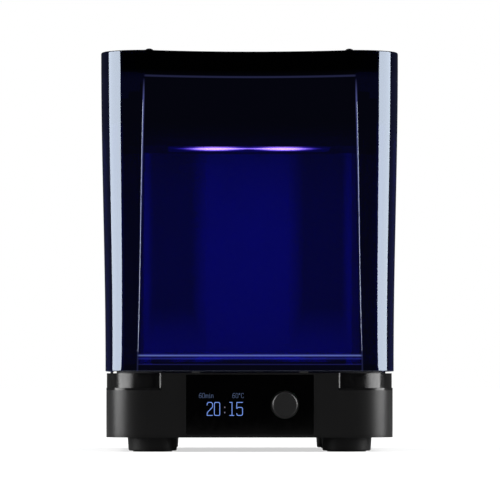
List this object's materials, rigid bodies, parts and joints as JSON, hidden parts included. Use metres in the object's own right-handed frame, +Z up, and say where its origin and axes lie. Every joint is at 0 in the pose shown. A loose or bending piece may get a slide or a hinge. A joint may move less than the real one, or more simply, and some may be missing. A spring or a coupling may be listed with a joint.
{
  "type": "dental light curing unit",
  "caption": "Bench light curing unit for printed dental parts: low base with display and push-turn knob, turntable, lamp head and a tinted hood hinged at the top.",
  "frame": {"origin": "on the bench, under the middle of the unit's overall box", "axes": "+Z up, the display and knob face -Y, +X to the right as seen by a user in front"},
  "size_m": [0.2534, 0.26, 0.3455],
  "materials": {
    "housing": "fine satin",
    "black_gloss": "polished",
    "feet": "satin",
    "rubber": "matt",
    "hood": "polished, tinted see-through",
    "dark_metal": "powder coated",
    "steel": "brushed",
    "polished": "polished reflector",
    "aluminium": "milled",
    "board": "solder mask",
    "screen": "display glass",
    "lens": "frosted, lit violet",
    "led": "clear dome",
    "fan": "moulded",
    "ceramic": "ceramic and foil",
    "brass": "turned"
  },
  "bodies": {
    "base_unit": {"base_shell": "housing", "base_plate": "housing", "feet": "feet", "foot_pads": "rubber", "base_screws": "steel", "grip_inserts": "black_gloss", "display_window": "black_gloss", "display_module": "screen", "control_board": "board", "encoder_body": "steel", "rim_pads": "rubber", "floor_tray": "polished", "power_inlet": "fan", "power_supply": "aluminium", "turntable_motor": "steel", "heater": "ceramic", "heater_fan_frame": "fan", "lid_sensor": "board", "column_shell": "housing", "rear_cover": "housing", "rear_screws": "steel", "chamber_back": "polished", "cooling_fan_frame": "fan", "hinge_brackets": "dark_metal", "hinge_pins": "steel", "lamp_housing": "dark_metal", "lamp_window": "lens", "lamp_reflectors": "polished", "led_emitters": "led", "led_board": "aluminium", "led_heatsink": "aluminium"},
    "hood": {"hood": "hood", "hood_bracket": "dark_metal", "hood_caps": "rubber", "lid_magnet": "steel"},
    "knob_plunger": {"encoder_plunger": "brass"},
    "knob": {"encoder_shaft": "steel", "knob": "housing"},
    "turntable": {"motor_shaft": "steel", "drive_hub": "fan", "turntable": "polished"},
    "heater_fan": {"heater_fan_rotor": "fan"},
    "cooling_fan": {"cooling_fan_rotor": "fan"}
  },
  "joints": [
    {"name": "hood_lift", "type": "hinge", "parent": "base_unit", "child": "hood", "pos_m": [0, 0.1, 0.3215], "axis": [-1, 0, 0], "range_deg": [0, 65]},
    {"name": "knob_push", "type": "slide", "parent": "base_unit", "child": "knob_plunger", "axis": [0, 1, 0], "range_m": [0, 0.0008], "stiffness_N_per_m": 3000, "springref_m": -0.0005},
    {"name": "knob_turn", "type": "hinge", "parent": "knob_plunger", "child": "knob", "pos_m": [0.0296, -0.12, 0.0398], "axis": [0, -1, 0], "continuous": true},
    {"name": "turntable_spin", "type": "hinge", "parent": "base_unit", "child": "turntable", "pos_m": [0, -0.008, 0.07], "axis": [0, 0, 1], "continuous": true},
    {"name": "heater_fan_spin", "type": "hinge", "parent": "base_unit", "child": "heater_fan", "pos_m": [-0.072, 0.045, 0.045], "axis": [0, 0, 1], "continuous": true},
    {"name": "cooling_fan_spin", "type": "hinge", "parent": "base_unit", "child": "cooling_fan", "pos_m": [0, 0.12, 0.282], "axis": [0, 1, 0], "continuous": true}
  ]
}
